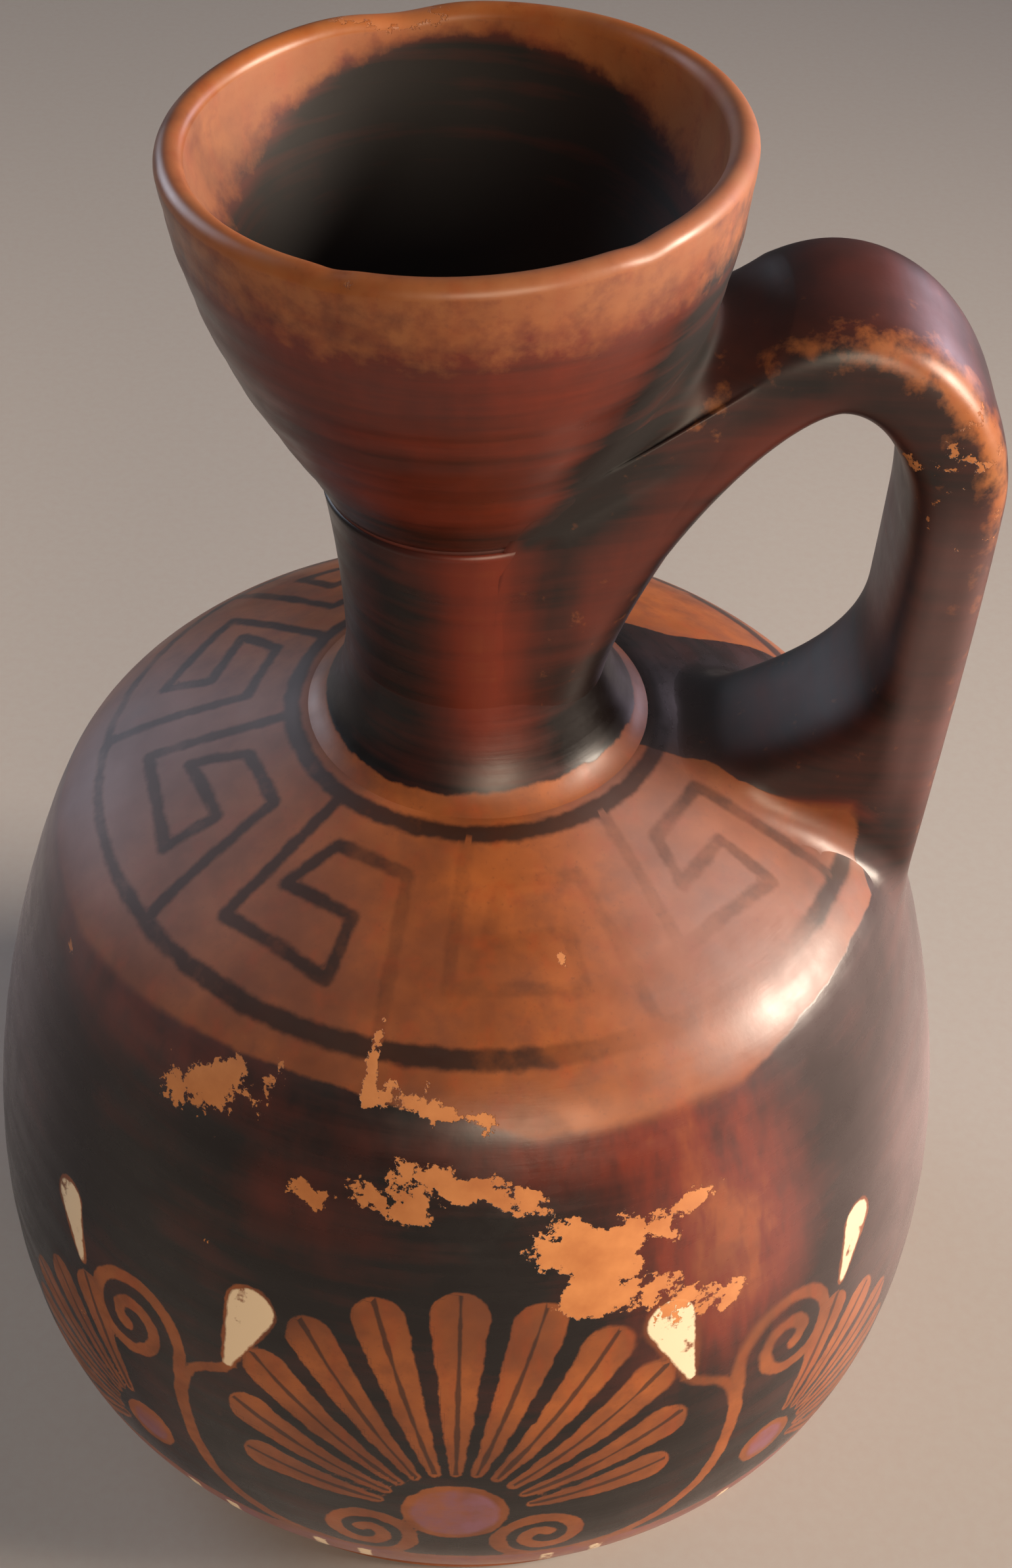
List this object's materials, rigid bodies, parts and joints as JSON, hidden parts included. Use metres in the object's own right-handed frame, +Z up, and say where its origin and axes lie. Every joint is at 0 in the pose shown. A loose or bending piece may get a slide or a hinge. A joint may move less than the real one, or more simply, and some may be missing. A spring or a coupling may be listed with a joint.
{
  "type": "squat lekythos",
  "caption": "Small hollow fired-clay oil jar with a disc foot, round belly, painted key-pattern shoulder, slim leaning neck, bell-shaped mouth and a strap handle on one side.",
  "frame": {"origin": "centre of the underside, on the plane the foot stands on", "axes": "+Z up along the axis of the jar, +X towards the handle, +Y away from the painted front"},
  "size_m": [0.1124, 0.1124, 0.1606],
  "materials": {
    "reserved_clay": "burnished fired clay, bare",
    "black_gloss": "sintered black gloss slip, worn",
    "thin_gloss": "thin gloss slip fired red-brown",
    "luting_slip": "matt luting slip"
  },
  "bodies": {
    "root": {"foot": "reserved_clay", "foot_slip": "luting_slip", "body": "black_gloss", "neck_coil": "black_gloss", "neck": "thin_gloss", "mouth_slip": "luting_slip", "mouth": "thin_gloss", "handle": "black_gloss"}
  },
  "joints": []
}
